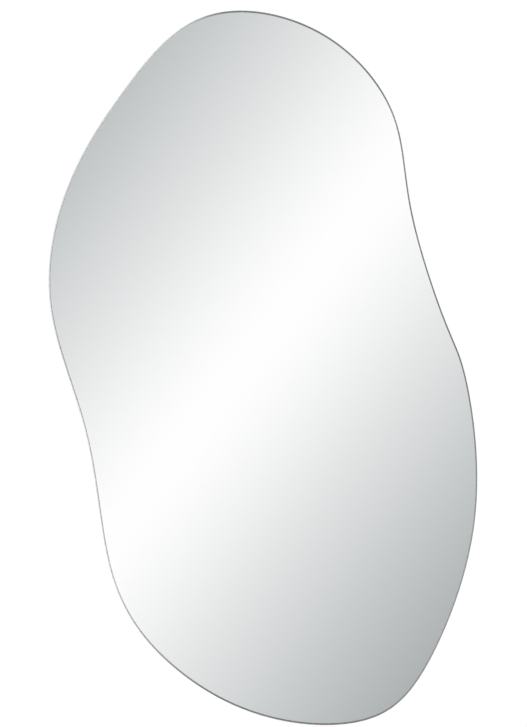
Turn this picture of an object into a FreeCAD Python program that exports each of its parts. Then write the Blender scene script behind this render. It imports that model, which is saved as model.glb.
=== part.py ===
"""Frameless wall mirror with a free-form outline, 600 x 1000 mm.

The wall is the plane Y = 0 and the mirror faces -Y, with +Z up and X to the right of someone who looks into it. The
origin is the middle of the outline's box, on the wall plane.

From the front to the wall it is a pane of float glass with polished arrises, its silvered and painted coat, a safety
film, foam tape strips and adhesive beads, and a smaller board of the same outline. The board's back carries four
strap hangers with D rings, two for hanging the mirror in portrait and two for landscape, and six soft bumpers that
meet the wall.

All lengths are in millimetres. "Depth" is the distance in front of the wall.
"""

import FreeCAD, Part
import math
import os

import Sketcher
from FreeCAD import Placement, Rotation, Vector

SIZES = {
    # the blank that the pane is cut from, and the pane
    "blank_width": 600,
    "blank_height": 1000,
    "glass_thick": 5,
    "front_arris": 1.5,
    "back_arris": 1.0,
    # what is laid on the back of the pane
    "coat_thick": 0.1,
    "coat_inset": 1.1,
    "film_thick": 0.2,
    "film_inset": 3,
    "tape_thick": 1.0,
    "tape_width": 25,
    "bead_width": 9,
    # the board
    "board_thick": 12,
    "board_inset": 46,
    "pilot_radius": 1.3,
    "pilot_depth": 10.5,
    # the bumpers
    "bumper_height": 7,
    "bumper_base_radius": 10,
    "bumper_face_radius": 8.4,
    "bumper_round": 1.2,
    # the strap hangers, measured along the strap from the ring's pin line
    "strap_width": 16,
    "strap_length": 47,
    "strap_sheet": 1.0,
    "strap_slit": 0.1,
    "strap_bend": 1.5,
    "strap_tail_round": 6,
    "eye_gap": 0.1,
    "first_screw": 24,
    "screw_pitch": 14,
    "screw_hole_radius": 2.1,
    # the D rings, measured on the middle of the wire
    "wire_radius": 1.5,
    "wire_end_gap": 0.4,
    "ring_half_width": 11.5,
    "ring_corner": 3,
    "ring_side": 3,
    "ring_rest_angle": 4,
    # the pan-head screws
    "head_radius": 3.2,
    "head_height": 2.0,
    "head_wall": 0.6,
    "head_flat_radius": 2.0,
    "head_round": 1.7,
    "neck_radius": 1.7,
    "thread_radius": 1.75,
    "core_radius": 1.25,
    "thread_pitch": 1.5,
    "thread_turns": 5,
    "tip_length": 2.2,
    "cross_reach": 1.7,
    "cross_half_thick": 0.42,
    "cross_depth": 1.3,
    # the pin lines: of the portrait pair, and of the landscape pair
    "portrait_x": 110,
    "portrait_z": 315,
    "landscape_x": -160,
    "landscape_z": 115,
}

# Guide points of the rim: the poles of one closed cubic curve, from the blank's left and bottom edges, clockwise.
RIM = [
    (207, 1020),  # crown, left half
    (392, 986),  # crown, right half
    (500, 858),  # upper right shoulder
    (496, 735),  # start of the right waist
    (563, 537),  # end of the right waist
    (584, 511),  # right hip, the tightest bend
    (616, 287),  # right side, the furthest out
    (532, 67),  # lower right corner
    (458, -7),  # foot, right half
    (294, 1),  # foot, left half
    (160, 81),  # lower left corner
    (75, 196),  # lower left side
    (66, 408),  # left waist
    (-18, 586),  # left side, the furthest out
    (20, 765),  # upper left side
    (103, 889),  # upper left shoulder
]

# Upright strips of foam tape and beads of adhesive, from the blank's middle: X, lower end, upper end.
TAPES = [(-160, -10, 300), (-80, -330, 390), (0, -400, 410), (80, -400, 390), (160, -370, 70)]
BEADS = [(-120, -220, 340), (-40, -370, 400), (40, -400, 400), (120, -390, 190)]

# Bumpers, from the blank's middle: X, Z.
BUMPERS = {
    "wall_bumper_top_left": (-100, 372),
    "wall_bumper_top_right": (60, 398),
    "wall_bumper_middle_left": (-212, 60),
    "wall_bumper_middle_right": (195, -60),
    "wall_bumper_bottom_left": (-85, -335),
    "wall_bumper_bottom_right": (130, -405),
}

# Hangers: X and Z of the pin line's middle, and the turn about Y. At 0 the strap runs down from it, at -90 to the
# right.
HANGERS = {
    "portrait_left": ("-Sizes.portrait_x", "Sizes.portrait_z", 0),
    "portrait_right": ("Sizes.portrait_x", "Sizes.portrait_z", 0),
    "landscape_upper": ("Sizes.landscape_x", "Sizes.landscape_z", -90),
    "landscape_lower": ("Sizes.landscape_x", "-Sizes.landscape_z", -90),
}

# Depth of each layer's wall side.
BOARD_BACK = "Sizes.bumper_height"
TAPE_BACK = f"({BOARD_BACK} + Sizes.board_thick)"
FILM_BACK = f"({TAPE_BACK} + Sizes.tape_thick)"
COAT_BACK = f"({FILM_BACK} + Sizes.film_thick)"
GLASS_BACK = f"({COAT_BACK} + Sizes.coat_thick)"

# Heights above the board's back face.
STRAP_TOP = "(2 * Sizes.strap_sheet + Sizes.strap_slit)"
PIN_HEIGHT = "(Sizes.wire_radius + Sizes.eye_gap + Sizes.strap_sheet)"

doc = FreeCAD.newDocument("IrregularMirror")
sheet = doc.addObject("Spreadsheet::Sheet", "Sizes")
parts = {}


# ------------------------------------------------------------------------------------------------- the sheet


def fill_sheet():
    """One named cell for every size and for every coordinate of the lists above."""
    cells = dict(SIZES)
    for i, (x, z) in enumerate(RIM, 1):
        cells.update({f"rim_x{i:02d}": x, f"rim_z{i:02d}": z})
    for name, strips in (("tape", TAPES), ("bead", BEADS)):
        for i, (x, low, high) in enumerate(strips, 1):
            cells.update({f"{name}_x{i:02d}": x, f"{name}_low{i:02d}": low, f"{name}_high{i:02d}": high})
    for name, (x, z) in BUMPERS.items():
        cells.update({f"{name}_x": x, f"{name}_z": z})
    for row, (alias, value) in enumerate(cells.items(), 1):
        sheet.set(f"A{row}", str(value))
        sheet.setAlias(f"A{row}", alias)
    doc.recompute()


def size(expression):
    """The value of an expression on the sheet's cells, as a plain number."""
    value = sheet.evalExpression(expression)
    return float(getattr(value, "Value", value))


# ----------------------------------------------------------------------------------- bodies and their sketches


def new_body(label, x="0", depth="0", z="0", turn=0):
    """An empty body at a spot of the mirror, turned about Y."""
    body = doc.addObject("PartDesign::Body", label)
    body.Label = label
    body.AllowCompound = True
    body.Placement.Rotation = Rotation(Vector(0, 1, 0), turn)
    body.setExpression("Placement.Base.x", x)
    body.setExpression("Placement.Base.y", f"-{depth}")
    body.setExpression("Placement.Base.z", z)
    parts[label] = body
    return body


def new_sketch(body, name, plane="XZ_Plane", lift="0"):
    """A sketch on one of the body's own planes, moved along that plane's normal by lift."""
    sketch = body.newObject("Sketcher::SketchObject", name)
    support = [f for f in body.Origin.OriginFeatures if f.Role == plane][0]
    sketch.AttachmentSupport = [(support, "")]
    sketch.MapMode = "FlatFace"
    sketch.setExpression("AttachmentOffset.Base.z", lift)
    return sketch


def bind_point(sketch, geo, point, across, up):
    """Holds a point of the sketch's geometry at two expressions, measured from the sketch's origin."""
    for kind, expression in (("DistanceX", across), ("DistanceY", up)):
        made = sketch.addConstraint(Sketcher.Constraint(kind, -1, 1, geo, point, size(expression)))
        sketch.setExpression(f"Constraints[{made}]", expression)


def bind_radius(sketch, geo, radius):
    made = sketch.addConstraint(Sketcher.Constraint("Radius", geo, size(radius)))
    sketch.setExpression(f"Constraints[{made}]", radius)


def draw_circle(sketch, across, up, radius):
    geo = sketch.addGeometry(Part.Circle(Vector(size(across), size(up), 0), Vector(0, 0, 1), size(radius)))
    bind_point(sketch, geo, 3, across, up)
    bind_radius(sketch, geo, radius)


def draw_arc(sketch, start, end, radius, bend):
    """An arc that bends "left" or "right" on its way, or "far left" or "far right" if it is over a half turn.
    Returns the arc and the numbers of its first and last points."""
    chord = end - start
    rise = math.sqrt(max(size(radius) ** 2 - chord.Length**2 / 4, 0))
    leftward = Vector(-chord.y, chord.x, 0).normalize()
    centre_is_left = bend in ("left", "far right")
    centre = (start + end) / 2 + leftward * (rise if centre_is_left else -rise)
    ends = (start, end) if bend.endswith("left") else (end, start)
    angles = [math.atan2(p.y - centre.y, p.x - centre.x) for p in ends]
    geo = sketch.addGeometry(Part.ArcOfCircle(Part.Circle(centre, Vector(0, 0, 1), size(radius)), *angles))
    bind_radius(sketch, geo, radius)
    return geo, ((1, 2) if bend.endswith("left") else (2, 1))


def draw_path(sketch, corners, closed=True):
    """Lines and arcs from corner to corner. A corner is (across, up), or (across, up, radius, bend) if an arc leaves
    it."""
    joints = []
    for here, after in zip(corners, corners[1:] + corners[:1] if closed else corners[1:]):
        start, end = (Vector(size(p[0]), size(p[1]), 0) for p in (here, after))
        if len(here) == 4:
            geo, (first, last) = draw_arc(sketch, start, end, here[2], here[3])
        else:
            geo, (first, last) = sketch.addGeometry(Part.LineSegment(start, end)), (1, 2)
        joints.append((geo, first, last))
        bind_point(sketch, geo, first, here[0], here[1])
    for (geo, _, last), (following, first, _) in zip(joints, joints[1:]):
        sketch.addConstraint(Sketcher.Constraint("Coincident", geo, last, following, first))
    if closed:
        sketch.addConstraint(Sketcher.Constraint("Coincident", joints[-1][0], joints[-1][2], *joints[0][:2]))
    else:
        bind_point(sketch, joints[-1][0], joints[-1][2], *corners[-1][:2])


def draw_rim(sketch, inset="0"):
    """The free-form outline, drawn in by inset: each guide point moves square to the line between its neighbours,
    which is the way the rim runs there."""
    n = len(RIM)
    guides = []
    for i in range(n):
        before, here, after = ((k % n) + 1 for k in (i - 1, i, i + 1))
        run = f"(Sizes.rim_x{after:02d} - Sizes.rim_x{before:02d})"
        rise = f"(Sizes.rim_z{after:02d} - Sizes.rim_z{before:02d})"
        reach = f"sqrt({run} ^ 2 + {rise} ^ 2)"
        across = f"Sizes.rim_x{here:02d} - Sizes.blank_width / 2 + {inset} * {rise} / {reach}"
        up = f"Sizes.rim_z{here:02d} - Sizes.blank_height / 2 - {inset} * {run} / {reach}"
        guides.append((across, up))
    poles = [Vector(size(across), size(up), 0) for across, up in guides]
    curve = sketch.addGeometry(Part.BSplineCurve(poles, None, None, True, 3, None, False))
    sketch.exposeInternalGeometry(curve)
    for i, (across, up) in enumerate(guides):
        bind_point(sketch, curve + 1 + i, 3, across, up)


# ------------------------------------------------------------------------------------------------- features


def pad(body, sketch, length, name="pad", both_ways=False):
    """Thickens a sketch along its normal, which is towards the front for a layer."""
    feature = body.newObject("PartDesign::Pad", name)
    feature.Profile = sketch
    feature.Midplane = both_ways
    feature.setExpression("Length", length)
    doc.recompute()
    return feature


def pocket(body, sketch, depth, name, along_normal=False):
    """Sinks a sketch into the body, against its normal unless told otherwise."""
    before = body.Shape.Volume
    feature = body.newObject("PartDesign::Pocket", name)
    feature.Profile = sketch
    feature.Reversed = along_normal
    feature.setExpression("Length", depth)
    doc.recompute()
    if body.Shape.Volume > before - 0.1:
        raise RuntimeError(f"{body.Label}: {name} cuts nothing")
    return feature


def revolve(body, sketch, name):
    """Turns a sketch about its own horizontal axis."""
    feature = body.newObject("PartDesign::Revolution", name)
    feature.Profile = sketch
    feature.ReferenceAxis = (sketch, ["H_Axis"])
    feature.Angle = 360
    doc.recompute()
    return feature


def fillet(body, name, radius, chosen):
    """Rounds the edges of the body's last feature that chosen(edge) picks."""
    base = body.Tip
    names = [f"Edge{i}" for i, edge in enumerate(base.Shape.Edges, 1) if chosen(edge)]
    if not names:
        raise RuntimeError(f"{body.Label}: {name} finds no edge")
    feature = body.newObject("PartDesign::Fillet", name)
    feature.Base = (base, names)
    feature.setExpression("Radius", radius)
    doc.recompute()
    return feature


def edge_through(x, y, z):
    """Picks the edges whose middle is at this spot of the body's own frame. None stands for any value."""

    def chosen(edge):
        first, last = edge.ParameterRange
        middle = edge.valueAt((first + last) / 2)
        return all(want is None or abs(got - want) < 1e-3 for got, want in zip(middle, (x, y, z)))

    return chosen


# ---------------------------------------------------------------------------------- the pane and its layers


def make_glass():
    """Float glass, its edge polished square with an arris all round on both faces."""
    body = new_body("mirror_glass", depth=GLASS_BACK)
    steps = [
        ("back_face", "0", "Sizes.back_arris"),
        ("edge_back", "Sizes.back_arris", "0"),
        ("edge_front", "Sizes.glass_thick - Sizes.front_arris", "0"),
        ("front_face", "Sizes.glass_thick", "Sizes.front_arris"),
    ]
    rims = []
    for name, lift, inset in steps:
        rims.append(new_sketch(body, name, lift=lift))
        draw_rim(rims[-1], inset)
    pane = body.newObject("PartDesign::AdditiveLoft", "pane")
    pane.Profile = rims[0]
    pane.Sections = rims[1:]
    pane.Ruled = True
    doc.recompute()


def make_layer(label, depth, inset, thick):
    """A layer of even thickness with the same outline, drawn in from the rim."""
    body = new_body(label, depth=depth)
    rim = new_sketch(body, f"{label}_rim")
    draw_rim(rim, inset)
    pad(body, rim, thick)
    return body


def make_tapes():
    """Foam tape, which holds the board at its distance while the adhesive cures."""
    body = new_body("foam_tape_strips", depth=TAPE_BACK)
    sketch = new_sketch(body, "tape_outlines")
    for i in range(1, len(TAPES) + 1):
        left, right = (f"Sizes.tape_x{i:02d} {sign} Sizes.tape_width / 2" for sign in "-+")
        low, high = f"Sizes.tape_low{i:02d}", f"Sizes.tape_high{i:02d}"
        draw_path(sketch, [(left, low), (right, low), (right, high), (left, high)])
    pad(body, sketch, "Sizes.tape_thick")


def make_beads():
    """Round-ended beads of adhesive between the tapes, pressed as thin as the tape."""
    body = new_body("adhesive_beads", depth=TAPE_BACK)
    sketch = new_sketch(body, "bead_outlines")
    radius = "Sizes.bead_width / 2"
    for i in range(1, len(BEADS) + 1):
        middle, low, high = (f"Sizes.bead_{end}{i:02d}" for end in ("x", "low", "high"))
        left, right = f"{middle} - {radius}", f"{middle} + {radius}"
        foot = [(left, low, radius, "left"), (middle, f"{low} - {radius}", radius, "left"), (right, low)]
        top = [(right, high, radius, "left"), (middle, f"{high} + {radius}", radius, "left"), (left, high)]
        draw_path(sketch, foot + top)
    pad(body, sketch, "Sizes.tape_thick")


def along_strap(x, z, turn, number):
    """Where a hanger's screw sits: number 0 is the one nearer the ring."""
    distance = f"(Sizes.first_screw + {number} * Sizes.screw_pitch)"
    return (x, f"{z} - {distance}") if turn == 0 else (f"{x} + {distance}", z)


def make_board():
    """The board, with a pilot hole for every hanger screw."""
    body = make_layer("backing_board", BOARD_BACK, "Sizes.board_inset", "Sizes.board_thick")
    holes = new_sketch(body, "pilot_outlines")
    for x, z, turn in HANGERS.values():
        for number in range(2):
            draw_circle(holes, *along_strap(x, z, turn, number), "Sizes.pilot_radius")
    pocket(body, holes, "Sizes.pilot_depth", "pilot_holes", along_normal=True)


# --------------------------------------------------------------------------- hangers, rings, screws and bumpers


def make_strap(name, x, z, turn):
    """A strip of sheet folded double round the ring's straight side, which it holds as an eye."""
    body = new_body(f"hanger_strap_{name}", x, BOARD_BACK, z, turn)
    eye_inner = "(Sizes.wire_radius + Sizes.eye_gap)"
    slit_top = "(Sizes.strap_sheet + Sizes.strap_slit)"
    outer_drop = f"sqrt({PIN_HEIGHT} ^ 2 - ({PIN_HEIGHT} - {STRAP_TOP}) ^ 2)"
    inner_drop = f"sqrt({eye_inner} ^ 2 - ({PIN_HEIGHT} - {slit_top}) ^ 2)"
    tail = "-Sizes.strap_length"
    fold = [
        ("0", tail),
        ("0", "0", PIN_HEIGHT, "far right"),
        (STRAP_TOP, f"-{outer_drop}"),
        (STRAP_TOP, tail),
        (slit_top, tail),
        (slit_top, f"-{inner_drop}", eye_inner, "far left"),
        ("Sizes.strap_sheet", "0"),
        ("Sizes.strap_sheet", tail),
    ]
    profile = new_sketch(body, f"fold_{name}", "YZ_Plane")
    draw_path(profile, fold)
    pad(body, profile, "Sizes.strap_width", f"folded_sheet_{name}", both_ways=True)
    fillet(body, f"bend_{name}", "Sizes.strap_bend", edge_through(0, size(STRAP_TOP), -size(outer_drop)))
    half = size("Sizes.strap_width / 2")
    corners = [edge_through(side * half, None, size(tail)) for side in (-1, 1)]
    fillet(body, f"tail_{name}", "Sizes.strap_tail_round", lambda edge: any(corner(edge) for corner in corners))
    holes = new_sketch(body, f"screw_holes_{name}")
    for number in range(2):
        draw_circle(holes, *along_strap("0", "0", 0, number), "Sizes.screw_hole_radius")
    pocket(body, holes, "3 * Sizes.strap_sheet", f"screw_clearance_{name}")


def make_ring(name, x, z, turn):
    """Round wire bent to a D, folded down over the strap. Its ends meet inside the strap's eye."""
    body = new_body(f"d_ring_{name}", x, f"({BOARD_BACK} - {PIN_HEIGHT})", z, turn)
    path = new_sketch(body, f"wire_path_{name}")
    path.AttachmentOffset = Placement(Vector(), Rotation(Vector(1, 0, 0), size("Sizes.ring_rest_angle")))
    path.setExpression("AttachmentOffset.Rotation.Angle", "Sizes.ring_rest_angle")
    half, corner, end = "Sizes.ring_half_width", "Sizes.ring_corner", "Sizes.wire_end_gap / 2"
    straight, low = f"({half} - {corner})", f"-({corner} + Sizes.ring_side)"
    bends = [
        (end, "0"),
        (straight, "0", corner, "right"),
        (half, f"-{corner}"),
        (half, low, half, "right"),
        ("0", f"{low} - {half}", half, "right"),
        (f"-{half}", low),
        (f"-{half}", f"-{corner}", corner, "right"),
        (f"-{straight}", "0"),
        (f"-{end}", "0"),
    ]
    draw_path(path, bends, closed=False)
    section = new_sketch(body, f"wire_section_{name}", "YZ_Plane", end)
    draw_circle(section, "0", "0", "Sizes.wire_radius")
    wire = body.newObject("PartDesign::AdditivePipe", f"bent_wire_{name}")
    wire.Profile = section
    wire.Spine = path
    doc.recompute()


def screw_profile():
    """Half of a screw's outline, from the top of its head to its tip. Ridges stand in for the thread's turns."""
    corners = [
        ("Sizes.head_height", "0"),
        ("Sizes.head_height", "Sizes.head_flat_radius", "Sizes.head_round", "left"),
        ("Sizes.head_wall", "Sizes.head_radius"),
        ("0", "Sizes.head_radius"),
        ("0", "Sizes.neck_radius"),
        (f"-{STRAP_TOP}", "Sizes.neck_radius"),
        (f"-{STRAP_TOP}", "Sizes.core_radius"),
    ]
    for turn in range(SIZES["thread_turns"]):
        for share, radius in ((0.5, "core"), (0.75, "thread"), (1, "core")):
            corners.append((f"-{STRAP_TOP} - {turn + share} * Sizes.thread_pitch", f"Sizes.{radius}_radius"))
    corners.append((f"-{STRAP_TOP} - {SIZES['thread_turns']} * Sizes.thread_pitch - Sizes.tip_length", "0"))
    return corners


def make_screws(name, x, z, turn):
    """The two pan-head wood screws of one hanger, driven through the strap into the board."""
    at_x, at_z = along_strap(x, z, turn, 0)
    body = new_body(f"hanger_screws_{name}", at_x, f"({BOARD_BACK} - {STRAP_TOP})", at_z, turn)
    outline = new_sketch(body, f"screw_outline_{name}", "YZ_Plane")
    draw_path(outline, screw_profile())
    turned = revolve(body, outline, f"turned_screw_{name}")
    cross = new_sketch(body, f"cross_outline_{name}", lift="-Sizes.head_height")
    a, c = "Sizes.cross_reach", "Sizes.cross_half_thick"
    quarter = [(c, c), (c, a), (f"-{c}", a)]
    corners = []
    for _ in range(4):
        corners += quarter
        quarter = [(f"-{up}".replace("--", ""), across) for across, up in quarter]
    draw_path(cross, corners)
    recess = pocket(body, cross, "Sizes.cross_depth", f"cross_recess_{name}", along_normal=True)
    second = body.newObject("PartDesign::LinearPattern", f"second_screw_{name}")
    second.Originals = [turned, recess]
    second.Direction = ([f for f in body.Origin.OriginFeatures if f.Role == "Z_Axis"][0], [""])
    second.Reversed = True
    second.Occurrences = 2
    second.setExpression("Length", "Sizes.screw_pitch")
    body.Tip = second
    doc.recompute()


def make_bumper(name):
    """A soft, self-adhesive bumper that tapers towards the wall."""
    body = new_body(name, f"Sizes.{name}_x", BOARD_BACK, f"Sizes.{name}_z")
    outline = new_sketch(body, f"{name}_outline", "YZ_Plane")
    height = "Sizes.bumper_height"
    draw_path(outline, [("0", "0"), (height, "0"), (height, "Sizes.bumper_face_radius"), ("0", "Sizes.bumper_base_radius")])
    revolve(body, outline, f"{name}_cone")
    fillet(body, f"{name}_rounding", "Sizes.bumper_round", edge_through(None, size(height), None))


# ------------------------------------------------------------------------------------------------- the mirror


def build():
    fill_sheet()
    make_glass()
    make_layer("mirror_coating", COAT_BACK, "Sizes.coat_inset", "Sizes.coat_thick")
    make_layer("safety_film", FILM_BACK, "Sizes.film_inset", "Sizes.film_thick")
    make_tapes()
    make_beads()
    make_board()
    for name, (x, z, turn) in HANGERS.items():
        make_strap(name, x, z, turn)
        make_ring(name, x, z, turn)
        make_screws(name, x, z, turn)
    for name in BUMPERS:
        make_bumper(name)


def write_parts():
    """Stops on any object that failed, then writes one file per sub-part."""
    doc.recompute()
    for thing in doc.Objects:
        if "Invalid" in thing.State or "Error" in thing.State:
            raise RuntimeError(f"{thing.Label} failed: {thing.State}")
    os.makedirs("parts", exist_ok=True)
    for label, body in parts.items():
        shape = body.Shape
        if shape.isNull() or not shape.isValid() or not shape.Solids:
            raise RuntimeError(f"{label} has no valid shape")
        shape.exportStep(f"parts/{label}.step")


build()
write_parts()
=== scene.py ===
# %% [markdown]
# # A frameless mirror with a free-form outline
#
# The real object is a sandwich. In front is a pane of 5 mm float glass with a polished edge. Its back is silvered,
# painted and covered with a film, and a smaller board is glued on behind, so that the pane seems to float off the
# wall. Metal hangers and soft bumpers sit on the board's back.
#
# The packed model already holds all of these at their true size and place. This lesson gives them their looks. It
# remodels the pane and its silver, because they have to be as smooth as glass, and gives every other piece a finish.

import math

import bmesh
import bpy
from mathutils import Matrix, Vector


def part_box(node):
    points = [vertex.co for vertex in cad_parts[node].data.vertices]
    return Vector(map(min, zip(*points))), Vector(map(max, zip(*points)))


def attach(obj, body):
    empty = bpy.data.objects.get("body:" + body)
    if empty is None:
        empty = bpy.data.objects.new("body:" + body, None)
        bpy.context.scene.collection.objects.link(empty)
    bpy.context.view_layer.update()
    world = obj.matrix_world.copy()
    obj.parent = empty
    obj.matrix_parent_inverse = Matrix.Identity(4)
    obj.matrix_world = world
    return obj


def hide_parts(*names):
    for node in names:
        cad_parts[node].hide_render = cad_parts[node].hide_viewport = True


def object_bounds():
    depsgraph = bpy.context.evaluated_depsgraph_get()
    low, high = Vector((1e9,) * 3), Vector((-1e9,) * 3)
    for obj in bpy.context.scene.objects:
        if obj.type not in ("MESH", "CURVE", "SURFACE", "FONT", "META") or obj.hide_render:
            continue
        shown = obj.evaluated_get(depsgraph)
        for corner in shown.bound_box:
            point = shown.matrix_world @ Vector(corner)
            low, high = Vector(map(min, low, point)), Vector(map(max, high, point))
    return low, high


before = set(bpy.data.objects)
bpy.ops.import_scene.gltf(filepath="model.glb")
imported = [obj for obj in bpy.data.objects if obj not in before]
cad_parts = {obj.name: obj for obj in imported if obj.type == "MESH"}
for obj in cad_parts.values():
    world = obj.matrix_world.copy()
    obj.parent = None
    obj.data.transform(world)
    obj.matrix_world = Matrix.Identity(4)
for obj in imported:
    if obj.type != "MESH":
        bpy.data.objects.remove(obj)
cad_low, cad_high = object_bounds()
print("pieces in the frame:", len(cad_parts))
print("size in mm:", [round(1000 * side, 1) for side in cad_high - cad_low])

# %% [markdown]
# ## Lengths and layers
#
# Blender's unit is the metre. The wall is the plane Y = 0 and the mirror faces -Y. `MM` lets small sizes be written
# as a maker would say them. The depth of each layer is read from the frame, so the looks follow the construction.

# %% Read the depths of the pane
MM = 0.001
SAME = 0.01 * MM  # two depths that differ by less than this are the same
BODY = "mirror"  # the body that every piece but the rings belongs to


def depths(node):
    """The levels in Y at which a flat-faced node has its corners, front first."""
    return sorted({round(v.co.y, 5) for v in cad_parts[node].data.vertices})


glass_front, arris_front, arris_back, glass_back = depths("mirror_glass")
print("pane:", round((glass_back - glass_front) / MM, 2), "mm thick")
print("front arris:", round((arris_front - glass_front) / MM, 2), "mm")
print("back arris:", round((glass_back - arris_back) / MM, 2), "mm")

# %% [markdown]
# ## The rim as one smooth curve
#
# The packed pane is a triangle mesh. The points of its rim lie on the true outline, but the straight steps between
# them would show as facets in a polished edge. A closed Bezier curve with automatic handles through those points has
# no steps, and it can be turned back into a mesh with as many points as the reflection needs.

# %% Trace the rim
RIM_STEPS = 6  # pieces that each stretch between two packed rim points is cut into


def choose(piece):
    """Makes one object the only selected and active one, as operators expect."""
    bpy.ops.object.select_all(action="DESELECT")
    piece.select_set(True)
    bpy.context.view_layer.objects.active = piece


def rim_points(node, depth):
    """The corners of a node at one depth, in order round the middle."""
    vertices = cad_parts[node].data.vertices
    found = {(round(v.co.x, 6), round(v.co.z, 6)) for v in vertices if abs(v.co.y - depth) < SAME}
    return sorted(found, key=lambda point: math.atan2(point[1], point[0]))


def smooth_rim(name, points):
    """A closed curve through the points, turned into a loop of edges in the plane Y = 0."""
    curve = bpy.data.curves.new(name, "CURVE")
    curve.dimensions = "3D"
    curve.resolution_u = RIM_STEPS
    spline = curve.splines.new("BEZIER")
    spline.bezier_points.add(len(points) - 1)
    for knot, (x, z) in zip(spline.bezier_points, points):
        knot.co = (x, 0, z)
        knot.handle_left_type = knot.handle_right_type = "AUTO"
    spline.use_cyclic_u = True
    made = bpy.data.objects.new(name, curve)
    bpy.context.collection.objects.link(made)
    choose(made)
    bpy.ops.object.convert(target="MESH")
    return bpy.context.object


pane_rim = rim_points("mirror_glass", arris_front)
print("points on the packed rim:", len(pane_rim))

# %% [markdown]
# ## The pane
#
# A glazier cuts the outline from a sheet, grinds the edge square, and then grinds a narrow slope, the arris, on both
# rims so that they don't chip. The same steps work here: fill the outline, pull it to the sheet's thickness, and
# bevel the two rims by the width of the arris.

# %% Cut and grind the pane
CRISP = math.radians(25)  # edges that turn by more than this stay crisp


def select_level(mesh, depth):
    """Selects, in edit mode, the edges that lie at one depth."""
    data = bmesh.from_edit_mesh(mesh)
    bpy.ops.mesh.select_all(action="DESELECT")
    for edge in data.edges:
        if all(abs(end.co.y - depth) < SAME for end in edge.verts):
            edge.select_set(True)
    data.select_flush_mode()
    bmesh.update_edit_mesh(mesh)


def cut_sheet(name, front, back, inset=0):
    """A sheet with the rim's outline, drawn in by inset, left in edit mode."""
    sheet = smooth_rim(name, pane_rim)
    bpy.ops.object.mode_set(mode="EDIT")
    bpy.ops.mesh.select_all(action="SELECT")
    bpy.ops.mesh.edge_face_add()
    if inset:
        bpy.ops.mesh.inset(thickness=inset)
        bpy.ops.mesh.select_all(action="INVERT")
        bpy.ops.mesh.delete(type="FACE")
        bpy.ops.mesh.select_all(action="SELECT")
    bpy.ops.transform.translate(value=(0, front, 0))
    bpy.ops.mesh.extrude_region_move(TRANSFORM_OT_translate={"value": (0, back - front, 0)})
    bpy.ops.mesh.select_all(action="SELECT")
    bpy.ops.mesh.delete_loose()
    bpy.ops.mesh.normals_make_consistent(inside=False)
    return sheet


def settle(piece, node):
    """Leaves edit mode and lets the piece stand for a node of the frame."""
    bpy.ops.object.mode_set(mode="OBJECT")
    bpy.ops.object.shade_smooth_by_angle(angle=CRISP)
    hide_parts(node)
    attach(piece, BODY)
    print(piece.name, "has", len(piece.data.polygons), "faces")


pane = cut_sheet("glass_pane", glass_front, glass_back)
for rim_depth, slope in ((glass_front, arris_front - glass_front), (glass_back, glass_back - arris_back)):
    select_level(pane.data, rim_depth)
    bpy.ops.mesh.bevel(offset=slope, segments=1, affect="EDGES")
settle(pane, "mirror_glass")

# %% [markdown]
# ## The silver
#
# Silver is laid straight on the glass, with no air between. Where two faces lie at exactly the same depth, a ray of
# light can't tell which comes first, and the picture gets blotches. So the silver is let into the glass by a hair,
# two hundredths of a millimetre. Light in the glass then meets metal, as it does in a real mirror.

# %% Lay the silver
LET_IN = 0.02 * MM  # how far the silver reaches into the glass

coat_low, coat_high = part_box("mirror_coating")
coat_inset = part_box("mirror_glass")[1].x - coat_high.x
silver = cut_sheet("silver_coat", coat_low.y - LET_IN, coat_high.y, coat_inset)
settle(silver, "mirror_coating")
print("the silver stops", round(coat_inset / MM, 2), "mm inside the rim")

# %% [markdown]
# ## Numbers that build nodes
#
# A material is a net of small nodes. Wiring a sum by hand takes four lines and hides what it means. `Value` wraps a
# socket and overloads the operators, so that `1 - mask * 0.5` adds the Math nodes that work it out.


# %% A socket that can be counted with
class Value:
    """A number in a node tree. Sums and products of values become Math nodes."""

    def __init__(self, tree, socket):
        self.tree, self.socket = tree, socket

    def math(self, operation, *terms):
        node = self.tree.nodes.new("ShaderNodeMath")
        node.operation = operation
        for socket, term in zip(node.inputs, terms):
            plug(self.tree, socket, term)
        return Value(self.tree, node.outputs[0])

    def __add__(self, other):
        return self.math("ADD", self, other)

    def __sub__(self, other):
        return self.math("SUBTRACT", self, other)

    def __rsub__(self, other):
        return self.math("SUBTRACT", other, self)

    def __mul__(self, other):
        return self.math("MULTIPLY", self, other)

    def __truediv__(self, other):
        return self.math("DIVIDE", self, other)

    def __pow__(self, other):
        return self.math("POWER", self, other)

    def __abs__(self):
        return self.math("ABSOLUTE", self)

    def sine(self):
        return self.math("SINE", self)

    def at_least(self, other):
        return self.math("MAXIMUM", self, other)

    __radd__, __rmul__ = __add__, __mul__


def plug(tree, socket, value):
    """Links a value to a socket, or sets the socket to a plain number or colour."""
    if isinstance(value, Value):
        tree.links.new(value.socket, socket)
    else:
        socket.default_value = value


print("a Value counts with + - * / ** and abs, sine and at_least")

# %% [markdown]
# ## A net that grows by one call
#
# Every node that isn't a sum comes from one method, `Tree.add`: its kind, its settings, then what goes into its
# sockets. Three more methods name what the finishes ask for most often: a soft step, a mix of two colours and the
# three numbers of a vector.


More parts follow.
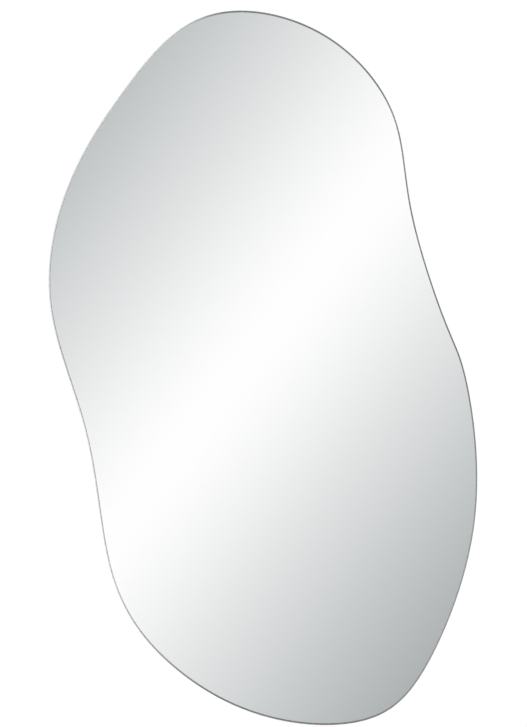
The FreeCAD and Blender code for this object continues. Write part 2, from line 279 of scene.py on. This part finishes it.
# %% A node tree with one way to add
class Tree:
    """A node tree that grows by kind, settings and inputs."""

    def __init__(self, tree):
        self.tree = tree
        tree.nodes.clear()

    def add(self, kind, settings=None, inputs=None, output=0):
        node = self.tree.nodes.new(kind)
        for name, value in (settings or {}).items():
            setattr(node, name, value)
        for name, value in (inputs or {}).items():
            plug(self.tree, node.inputs[name], value)
        return Value(self.tree, node.outputs[output]) if node.outputs else None

    def ramp(self, value, low, high):
        """0 up to low, 1 from high, and a soft rise between."""
        bounds = {"Value": value, "From Min": low, "From Max": high}
        return self.add("ShaderNodeMapRange", {"interpolation_type": "SMOOTHSTEP"}, bounds)

    def mix(self, share, first, second):
        """A colour between two colours."""
        return self.add("ShaderNodeMix", {"data_type": "RGBA"}, {0: share, 6: first, 7: second}, 2)

    def split(self, vector):
        """The three numbers of a vector."""
        return [self.add("ShaderNodeSeparateXYZ", {}, {0: vector}, axis) for axis in "XYZ"]


print("a Tree can:", ", ".join(name for name in vars(Tree) if not name.startswith("_")))

# %% [markdown]
# ## Colours and finishes
#
# Colours are easiest to name as they look on a screen, from 0 to 255, but light is reckoned in linear numbers. `ink`
# turns one into the other, by the curve that screens use.


# %% Turn screen colours into light
def ink(red, green, blue):
    """A screen colour, 0 to 255, as linear light."""
    shares = [part / 255 for part in (red, green, blue)]
    return (*(s / 12.92 if s <= 0.04045 else ((s + 0.055) / 1.055) ** 2.4 for s in shares), 1)


print("white is", [round(part, 3) for part in ink(255, 255, 255)])
print("middle grey is", [round(part, 3) for part in ink(128, 128, 128)])

# %% [markdown]
# A `Finish` is a material with one Principled shader. Its patterns read the object's own coordinates, in metres, so a
# grain of half a millimetre stays half a millimetre on every piece. What is the same all over goes in as a constant,
# and what changes from spot to spot is wired in by `wear`. `on` closes the net and puts the finish on its pieces.


# %% One class for all finishes
class Finish(Tree):
    """A material with one Principled shader and patterns in metres."""

    def __init__(self, name, constants=None):
        self.material = bpy.data.materials.new(name)
        self.material.use_nodes = True
        super().__init__(self.material.node_tree)
        self.look = self.add("ShaderNodeBsdfPrincipled", {}, constants)
        self.shader = self.look.socket.node
        self.place = self.add("ShaderNodeTexCoord", output="Object")

    def facing(self):
        """How far the surface faces along X, Y and Z, each from -1 to 1."""
        return self.split(self.add("ShaderNodeNewGeometry", output="Normal"))

    def wear(self, **channels):
        """Wires values to the shader: base_color, roughness, metallic, normal or emission_color."""
        for channel, value in channels.items():
            plug(self.tree, self.shader.inputs[channel.replace("_", " ").title()], value)

    def blend(self, share, constants):
        """Gives a share of the surface to a second, plain shader."""
        second = self.add("ShaderNodeBsdfPrincipled", {}, constants)
        self.look = self.add("ShaderNodeMixShader", {}, {0: share, 1: self.look, 2: second})

    def noise(self, size, detail=3, stretch=(1, 1, 1), turn=(0, 0, 0), seed=0):
        """Cloudy noise, 0 to 1, in blobs about as large as size and stretched along the axes."""
        turned = self.add("ShaderNodeMapping", {}, {"Vector": self.place, "Rotation": turn})
        scale = [1 / (size * s) for s in stretch]
        spot = self.add("ShaderNodeMapping", {}, {"Vector": turned, "Scale": scale, "Location": (seed, seed, seed)})
        return self.add("ShaderNodeTexNoise", {}, {"Vector": spot, "Scale": 1, "Detail": detail}, "Fac")

    def bump(self, height, distance):
        """A normal from a height of 0 to 1 that stands for a real distance."""
        return self.add("ShaderNodeBump", {}, {"Height": height, "Distance": distance})

    def on(self, *pieces):
        """Closes the net and puts the finish on pieces, or on nodes of the frame by name."""
        self.add("ShaderNodeOutputMaterial", {}, {"Surface": self.look})
        for piece in pieces:
            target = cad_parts[piece] if isinstance(piece, str) else piece
            target.data.materials.clear()
            target.data.materials.append(self.material)
        print(self.material.name, "on", len(pieces), "piece(s)")


print("a Finish can:", ", ".join(name for name in vars(Finish) if not name.startswith("_")))

# %% [markdown]
# ## Float glass
#
# Clear glass looks green only where light has come a long way through it, which is at the edge. The faces get an
# almost neutral tint, the slope of the arris a grey one and the ground edge a green one. That grey is painted shade,
# darker than real glass: it was chosen so that the line round the pane has the tone that it has in the photograph.
# The normal tells the three apart: it points along Y on a face, across it on the edge and between the two on the
# arris. A ground edge is never quite clear. The wheel leaves it a trace rough, and part of it shines green from
# within like a milky body, so a share of the edge goes to a second, opaque shader.

# %% Finish the glass
GLASS_IOR = 1.52
# the grey for the arris is painted shade for the dark line round the pane, not a colour of the glass
FACE_TINT, ARRIS_PAINTED_SHADE, EDGE_TINT = ink(254, 254, 254), ink(152, 157, 155), ink(186, 218, 206)
BODY_COLOR, BODY_ROUGH = ink(152, 186, 175), 0.2
BODY_ON_EDGE, BODY_ON_ALL_GROUND = 0.4, 0.07  # shares of the opaque shader
WHEEL_MARK = 0.3 * MM

glass = Finish("float_glass", {"IOR": GLASS_IOR, "Transmission Weight": 1})
upright = abs(glass.facing()[1])  # 1 on a face, 0.7 on the arris and 0 on the edge
on_edge = 1 - glass.ramp(upright, 0.2, 0.5)
on_ground = 1 - glass.ramp(upright, 0.8, 0.95)  # the edge and the arris
wheel_marks = glass.noise(WHEEL_MARK, stretch=(8, 1, 8))
# the arris gets the painted grey shade here, while the faces and the edge get their real tints
glass_tint_and_arris_shade = glass.mix(on_edge, glass.mix(on_ground, FACE_TINT, ARRIS_PAINTED_SHADE), EDGE_TINT)
glass.wear(base_color=glass_tint_and_arris_shade, roughness=on_edge * (0.03 + 0.05 * wheel_marks))
body_share = BODY_ON_EDGE * on_edge + BODY_ON_ALL_GROUND * on_ground
glass.blend(body_share, {"Base Color": BODY_COLOR, "Roughness": BODY_ROUGH, "IOR": GLASS_IOR})
glass.on(pane)

# %% [markdown]
# ## Silver in front, paint behind
#
# One thin sheet carries both. Its front is the silver, a metal without any roughness, and its back and rim are the
# grey paint that keeps the silver from tarnishing. Sprayed paint has the skin of an orange, very fine.

# %% Finish the silver and its paint
SILVER, PAINT, PAINT_PALE = ink(253, 253, 253), ink(104, 108, 110), ink(122, 126, 128)
PAINT_CLOUD, PAINT_SKIN = 30 * MM, 0.8 * MM

mirror_coat = Finish("silver_and_paint")
is_silver = mirror_coat.ramp(0 - mirror_coat.facing()[1], 0.5, 0.9)
clouds = mirror_coat.noise(PAINT_CLOUD)
skin = mirror_coat.noise(PAINT_SKIN)
paint = mirror_coat.mix(clouds, PAINT, PAINT_PALE)
mirror_coat.wear(
    base_color=mirror_coat.mix(is_silver, paint, SILVER),
    metallic=is_silver,
    roughness=(1 - is_silver) * (0.4 + 0.15 * skin),
    normal=mirror_coat.bump(skin * (1 - is_silver), 0.01 * MM),
)
mirror_coat.on(silver)

# %% [markdown]
# ## Safety film
#
# The film is woven from flat plastic tapes and pressed on with a roller. A weave is a chequer: in one square the
# upright tape lies on top, in the next the level one. Each tape is a little higher in its middle. The roller leaves
# long, low waves. The weave's colour is painted shade and painted light: darker where the tapes dip at their
# sides, paler on their crowns.

# %% Finish the film
TAPE_PITCH, MOTTLE_SIZE, ROLLER_WAVE = 2.4 * MM, 7 * MM, 60 * MM
# the gap grey and the crown grey are one tape colour, shaded and lit: painted shade and painted light
TAPE_GAP_SHADE, TAPE_CROWN_LIT, FILM_DUST = ink(168, 172, 174), ink(203, 206, 207), ink(186, 188, 188)

film = Finish("woven_film", {"Sheen Weight": 0.1, "Sheen Roughness": 0.4})
film_x, _, film_z = film.split(film.place)
warp, weft = (abs((side * (math.pi / TAPE_PITCH)).sine()) for side in (film_x, film_z))
chequer = film.add("ShaderNodeTexChecker", {}, {"Vector": film.place, "Scale": 1 / TAPE_PITCH}, "Fac")
weave = chequer * warp + (1 - chequer) * weft
rolled = film.noise(ROLLER_WAVE, 2, stretch=(1, 1, 4))
mottle = film.noise(MOTTLE_SIZE)
# darker in the dips between the tapes and paler on their crowns, following the weave's height: painted shade and
# painted light
weave_shading_color = film.mix(weave**0.5, TAPE_GAP_SHADE, TAPE_CROWN_LIT)
film.wear(
    base_color=film.mix(mottle * 0.3, weave_shading_color, FILM_DUST),
    roughness=0.32 + 0.25 * mottle,
    normal=film.bump(weave * 0.25 + rolled, 0.5 * MM),
)
film.on("safety_film")

# %% [markdown]
# ## Raw fibreboard
#
# MDF is pressed from wood fibres that lie every way. Noise stretched into short threads, laid in five directions,
# gives the fibres. Where threads cross, the highest one shows. Wide blotches and a few dark specks of bark break them
# up, so that no pattern repeats.

# %% Press the board's face
FIBRE_TURNS = (8, 47, 83, 119, 158)  # degrees
FIBRE_WIDTH, SPECK_SIZE, BLOTCH_SIZE = 0.2 * MM, 0.9 * MM, 60 * MM
FIBRE_DEEP, FIBRE_PALE = ink(158, 128, 95), ink(206, 177, 141)
BLOTCH, BARK = ink(170, 137, 102), ink(98, 70, 48)

board = Finish("raw_fibreboard", {"Specular IOR Level": 0.25})
fibres = 0
for turn in FIBRE_TURNS:
    thread = board.noise(FIBRE_WIDTH, 3, (8, 1, 1), (0, math.radians(turn), 0), turn)
    fibres = thread.at_least(fibres)
specks = board.ramp(board.noise(SPECK_SIZE, 2, seed=7), 0.66, 0.74)
blotches = board.ramp(board.noise(BLOTCH_SIZE, 5), 0.38, 0.66)
face_color = board.mix(board.ramp(fibres, 0.5, 0.8), FIBRE_DEEP, FIBRE_PALE)
face_color = board.mix(blotches * 0.5, face_color, BLOTCH)
face_color = board.mix(specks * 0.7, face_color, BARK)
print("fibres lie in", len(FIBRE_TURNS), "directions")

# %% [markdown]
# On the sawn edge the pressed skins are dark and smooth and the core is pale and furry, so there the colour follows
# the depth in the board. The normal tells the edge from the faces.

# %% Saw the board's edge
CORE, SKIN, FUR = ink(172, 136, 98), ink(116, 84, 56), ink(132, 96, 64)
FUR_SIZE = 0.5 * MM

board_low, board_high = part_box("backing_board")
middle, half = (board_low.y + board_high.y) / 2, (board_high.y - board_low.y) / 2
_, board_y, _ = board.split(board.place)
skins = board.ramp(abs(board_y - middle) / half, 0.45, 0.95)
fur = board.ramp(board.noise(FUR_SIZE, 5, (4, 1, 4)), 0.35, 0.65)
edge_color = board.mix(fur * 0.6, board.mix(skins, CORE, SKIN), FUR)
is_edge = 1 - board.ramp(abs(board.facing()[1]), 0.4, 0.8)
board.wear(
    base_color=board.mix(is_edge, face_color, edge_color),
    roughness=0.62 + 0.2 * fibres,
    normal=board.bump(fibres * (1 - is_edge) * 0.3 + fur * is_edge, 0.25 * MM),
)
board.on("backing_board")

# %% [markdown]
# ## Foam tape and adhesive
#
# Both are squeezed into a gap of one millimetre between the film and the board, where hardly any view from outside
# finds them. The foam is a white sponge of tiny closed cells. The adhesive is a milky rubber that dried in strings.

# %% Finish the tape and the beads
CELL_SIZE, STRING_SIZE = 0.4 * MM, 1.5 * MM
FOAM_PALE, FOAM_DEEP = ink(238, 238, 232), ink(206, 206, 198)
GLUE_DEEP, GLUE_PALE = ink(198, 196, 188), ink(222, 220, 214)

foam = Finish("closed_cell_foam")
cells = foam.add("ShaderNodeTexVoronoi", {}, {"Vector": foam.place, "Scale": 1 / CELL_SIZE}, "Distance")
foam.wear(
    base_color=foam.mix(cells, FOAM_PALE, FOAM_DEEP),
    roughness=0.75 + 0.1 * cells,
    normal=foam.bump(cells, 0.1 * MM),
)
foam.on("foam_tape_strips")

glue = Finish("cured_adhesive", {"Coat Weight": 0.2, "Coat Roughness": 0.3})
strings = glue.noise(STRING_SIZE, 3, (1, 1, 6))
glue.wear(
    base_color=glue.mix(strings, GLUE_DEEP, GLUE_PALE),
    roughness=0.35 + 0.2 * strings,
    normal=glue.bump(strings, 0.2 * MM),
)
glue.on("adhesive_beads")

# %% [markdown]
# ## Zinc-plated steel
#
# The straps are stamped from sheet, the rings are bent from drawn wire and the screws are rolled from rod, and all
# are plated with zinc. The plating is bright but never quite even: it has cloudy patches, fine marks from the tumbling
# drum, and a hint of blue or straw yellow from its last bath. One function makes the three kinds.


# %% Finish the hangers, rings and screws
HANGERS = [name.removeprefix("hanger_strap_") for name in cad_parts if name.startswith("hanger_strap_")]
PATCH_SIZE, SCUFF_SIZE = 2.5 * MM, 0.12 * MM
SCUFF_TURN = (0.3, 0.5, 0.2)  # radians about X, Y and Z, so that the scuffs follow no edge


def zinc(name, pale, deep, smooth, dull, marks):
    """Plated steel between two colours and two roughnesses, with marks stretched along the axes."""
    plate = Finish(name, {"Metallic": 1})
    patches = plate.ramp(plate.noise(PATCH_SIZE, 4), 0.35, 0.65)
    scuffs = plate.noise(SCUFF_SIZE, 2, marks, SCUFF_TURN)
    plate.wear(
        base_color=plate.mix(patches, pale, deep),
        roughness=smooth + (dull - smooth) * (0.6 * patches + 0.4 * scuffs),
        normal=plate.bump(scuffs + patches * 0.5, 0.01 * MM),
    )
    return plate


zinc("zinc_sheet", ink(206, 210, 214), ink(182, 187, 193), 0.24, 0.44, (10, 1, 10)).on(
    *(f"hanger_strap_{name}" for name in HANGERS)
)
zinc("zinc_wire", ink(214, 215, 212), ink(192, 193, 188), 0.16, 0.34, (6, 6, 6)).on(
    *(f"d_ring_{name}" for name in HANGERS)
)
zinc("zinc_screw", ink(204, 203, 192), ink(172, 172, 164), 0.22, 0.4, (4, 4, 4)).on(
    *(f"hanger_screws_{name}" for name in HANGERS)
)

# %% [markdown]
# ## Soft bumpers
#
# The bumpers are cast from clear polyurethane. It lets some light through and scatters it, like cloudy ice, and it
# always holds a little dust. A share of transmission over a pale base gives that look.

# %% Finish the bumpers
BUMPERS = [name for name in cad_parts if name.startswith("wall_bumper_")]
DUST_SIZE, HAZE_SIZE = 1.2 * MM, 6 * MM
CLEAN, DUSTY = ink(246, 247, 245), ink(222, 221, 214)

bumper = Finish("cast_polyurethane", {"Transmission Weight": 0.35, "IOR": 1.49})
dust = bumper.ramp(bumper.noise(DUST_SIZE, 5), 0.55, 0.8)
haze = bumper.noise(HAZE_SIZE)
bumper.wear(
    base_color=bumper.mix(dust, CLEAN, DUSTY),
    roughness=0.24 + 0.14 * haze + 0.2 * dust,
    normal=bumper.bump(dust, 0.03 * MM),
)
bumper.on(*BUMPERS)

# %% [markdown]
# ## A studio for a mirror
#
# A mirror shows nothing but its surroundings, so its looks are made by the room. The photograph shows one broad soft
# band of white that runs from the lower left to the upper right and falls off to a cool grey on both sides: a long
# light card behind the camera. Round the card the room is darker. That darker room, seen through the arris, whose
# slope bends the view by some 27 degrees, and the grey painted on the arris as shade draw the thin dark line along
# the ground edge. Only the upper left edge is pale, so to the right of the camera there stands a small second card.
# Further out, soft strip lights hang along the same slant.
# They give the mirror a gradient when it is seen from the side. A last card, behind the mirror, shines in the metal
# of the hangers.
#
# The tones of the long card, the dark ring and the second card were fitted to the photograph, as its own camera sees
# the mirror. The rest of the room is invented.
#
# The world is that room. A direction is a point on the unit sphere: X to the right, Y into the wall, Z up. `glow` is
# a round card with soft borders. Only mirror-like surfaces see the room. The camera sees plain white past the object,
# and matt surfaces get an even light, so that the cards can be set for the reflection alone.

# %% Choose the tones of the room
BAND_TURN = math.radians(37.6)  # the band's slant, from the upright
BAND_PEAK, BAND_FALL, BAND_CURVE = 1.03, 2.11, 1.11  # screen tone: peak - fall * distance ** curve
BAND_SHIFT, BAND_ROUND = 0.008, 0.024  # how far the band lies off the axis, and how blunt its crest is
LONG_CARD_REACH = (0.235, 0.36)  # how far off the axis the long card is whole, and where it ends
DARK_TONE, DARK_RISE = 0.58, 0.34  # the dark ring, and how much paler it gets away from the band
RISE_REACH = (0.12, 0.56)  # where that rise begins and ends, as a distance from the band
DARK_REACH = (24, 9)  # degrees off the axis that the ring is whole, and its border
WALL_TONE, STRIP_TONE = 0.62, 0.98  # the room's walls, and the soft strip lights on them
STRIP_GAP = 0.44  # from one strip to the next
CARDS = [  # direction, half width and border in degrees, screen tone
    ((0.265, -0.961, -0.076), 11.5, 8, 1.12),
    ((0.0, 1.0, 0.0), 32, 10, 1.0),
]

world = bpy.data.worlds.new("studio")
bpy.context.scene.world = world
world.use_nodes = True
room = Tree(world.node_tree)
to_x, to_y, to_z = room.split(room.add("ShaderNodeTexCoord", output="Generated"))
print("round cards in the room:", len(CARDS))

# %% [markdown]
# The walls come first, and what hangs in front of them is mixed over them in turn: the dark ring, then the round
# cards. A card only ever adds light, so where the room is brighter already, the room stays.


# %% Paint the walls and hang the round cards
def glow(direction, half_width, border):
    """1 inside a round card in a direction, and 0 past its soft border."""
    aim = Vector(direction).normalized()
    inner, outer = math.cos(math.radians(half_width)), math.cos(math.radians(half_width + border))
    return room.ramp(to_x * aim.x + to_y * aim.y + to_z * aim.z, outer, inner)


across = to_x * math.cos(BAND_TURN) - to_z * math.sin(BAND_TURN) + BAND_SHIFT
strips = 0.5 + 0.5 * (across * (2 * math.pi / STRIP_GAP) + math.pi / 2).sine()
walls = WALL_TONE + strips * (STRIP_TONE - WALL_TONE)
dark = DARK_TONE + DARK_RISE * room.ramp(abs(across), *RISE_REACH)
surround = walls + (dark - walls) * glow((0, -1, 0), *DARK_REACH)
for direction, half_width, border, card_tone in CARDS:
    surround = surround + (card_tone - surround).at_least(0) * glow(direction, half_width, border)
print("the room so far takes", len(world.node_tree.nodes), "nodes")

# %% [markdown]
# The long card covers the middle of what the mirror sees from the front. Its tone falls off on both sides of the band
# as in the photograph, and where it is darker it is also cooler: a little red is missing and a trace of blue is added.

# %% Hang the long card
COOL_RED, COOL_BLUE = 0.055, 0.02  # change of red and blue where the card would be black
FRONT_REACH = (-0.2, 0.2)  # the card ends where the directions turn from the front to the back


def as_light(tone):
    """A screen tone, 0 to 1, as linear light."""
    return ((tone + 0.055) / 1.055) ** 2.4


band = BAND_PEAK - (across * across + BAND_ROUND**2) ** (BAND_CURVE / 2) * BAND_FALL
off_axis = (to_x * to_x + to_z * to_z) ** 0.5
on_card = (1 - room.ramp(off_axis, *LONG_CARD_REACH)) * (1 - room.ramp(to_y, *FRONT_REACH))
tone = (surround + (band - surround) * on_card).at_least(0)
coolness = (1 - tone) * on_card
channels = {"Red": tone - COOL_RED * coolness, "Green": tone, "Blue": tone + COOL_BLUE * coolness}
reflected = room.add("ShaderNodeCombineColor", {}, {name: as_light(part) for name, part in channels.items()})
print("the whole room takes", len(world.node_tree.nodes), "nodes")

# %% [markdown]
# The Light Path node tells what kind of ray has reached the world. Rays that bounced off silver or went through glass
# get the room, rays straight from the camera get plain white, and all others get the even light.

# %% Give each kind of ray its light
ROOM_LIGHT = 1.03  # makes up for what silver and glass swallow
EVEN_LIGHT, PLAIN_LIGHT = 0.72, 1
LIGHT_PATH = "ShaderNodeLightPath"
BLACK, WHITE = (0, 0, 0, 1), (1, 1, 1, 1)


def backdrop(color, strength):
    """A background of one strength."""
    return room.add("ShaderNodeBackground", {}, {"Color": color, "Strength": strength})


from_camera = room.add(LIGHT_PATH, output="Is Camera Ray")
bounced = room.add(LIGHT_PATH, output="Is Glossy Ray").at_least(room.add(LIGHT_PATH, output="Is Transmission Ray"))
even, plain = backdrop(WHITE, EVEN_LIGHT), backdrop(WHITE, PLAIN_LIGHT)
lit = room.add("ShaderNodeMixShader", {}, {0: bounced, 1: even, 2: backdrop(reflected, ROOM_LIGHT)})
shown = room.add("ShaderNodeMixShader", {}, {0: from_camera, 1: lit, 2: plain})
room.add("ShaderNodeOutputWorld", {}, {"Surface": shown})
print("even light:", EVEN_LIGHT, "and plain white:", PLAIN_LIGHT)

# %% [markdown]
# ## A lamp behind the mirror
#
# Even light from all sides would leave the hangers on the back flat. One wide, soft sun, high up behind the mirror,
# adds form to them and doesn't show in the mirror.

# %% Light the back
SUN_WAY = (0.45, -0.60, -0.80)  # the light travels to the right, to the front and down
SUN_STRENGTH, SUN_WIDTH = 1.1, math.radians(25)

lamp = bpy.data.lights.new("back_light", "SUN")
lamp.energy, lamp.angle = SUN_STRENGTH, SUN_WIDTH
holder = bpy.data.objects.new("back_light", lamp)
bpy.context.collection.objects.link(holder)
holder.rotation_mode = "QUATERNION"
holder.rotation_quaternion = Vector(SUN_WAY).to_track_quat("-Z", "Y")
holder.visible_glossy = holder.visible_transmission = False
print(lamp.name, "shines along", SUN_WAY)

# %% [markdown]
# ## The floor
#
# The floor is pale and catches the soft shadow. Camera rays get a touch of light from it, so that it meets the white
# background without a seam.

# %% Lay the floor
FLOOR_DROP, FLOOR_SIDE = 0.24, 16.0  # metres from the mirror's foot down to the floor, and the floor's side
FLOOR_CLOUD = 0.5  # metres
FLOOR_PALE, FLOOR_DEEP = ink(243, 243, 242), ink(240, 240, 239)

bpy.ops.object.select_all(action="DESELECT")
bpy.ops.mesh.primitive_plane_add(size=FLOOR_SIDE, location=(0, 0, cad_low.z - FLOOR_DROP))
floor = bpy.context.object
floor.name = "floor"
floor.visible_glossy = floor.visible_transmission = False

pale_floor = Finish("pale_floor", {"Roughness": 0.9, "Specular IOR Level": 0, "Emission Strength": 0.16})
pale_floor.wear(
    base_color=pale_floor.mix(pale_floor.noise(FLOOR_CLOUD), FLOOR_DEEP, FLOOR_PALE),
    emission_color=pale_floor.mix(pale_floor.add(LIGHT_PATH, output="Is Camera Ray"), BLACK, WHITE),
)
pale_floor.on(floor)

# %% [markdown]
# ## The camera
#
# The photograph looks straight at the mirror through a long lens. At this distance the 1000 mm outline is 714.5
# pixels high in a picture 727 pixels high. The lens looks at a point a little above and to the right of the mirror's
# middle, because the mirror sits 4.3 pixels low and half a pixel left in the picture.

# %% Place the camera
PICTURE_HEIGHT = 727
OUTLINE_HEIGHT = 714.5  # pixels
LEFT_OF_MIDDLE, BELOW_MIDDLE = 0.5, 4.3  # pixels
LENS, SENSOR = 85, 36  # in mm; the sensor's side spans the picture's height
CLIP_START, CLIP_END = 0.05, 60  # metres

pixel = (cad_high.z - cad_low.z) / OUTLINE_HEIGHT
distance = pixel * PICTURE_HEIGHT * LENS / SENSOR
camera = bpy.data.cameras.new("camera")
camera.lens, camera.sensor_width = LENS, SENSOR
camera.clip_start, camera.clip_end = CLIP_START, CLIP_END
stand = bpy.data.objects.new("camera", camera)
bpy.context.collection.objects.link(stand)
stand.location = (LEFT_OF_MIDDLE * pixel, arris_front - distance, BELOW_MIDDLE * pixel)
stand.rotation_euler = (math.pi / 2, 0, 0)
bpy.context.scene.camera = stand
bpy.context.scene.view_settings.view_transform = "Standard"
print("the camera stands", round(distance, 3), "m in front of the pane")

# %% [markdown]
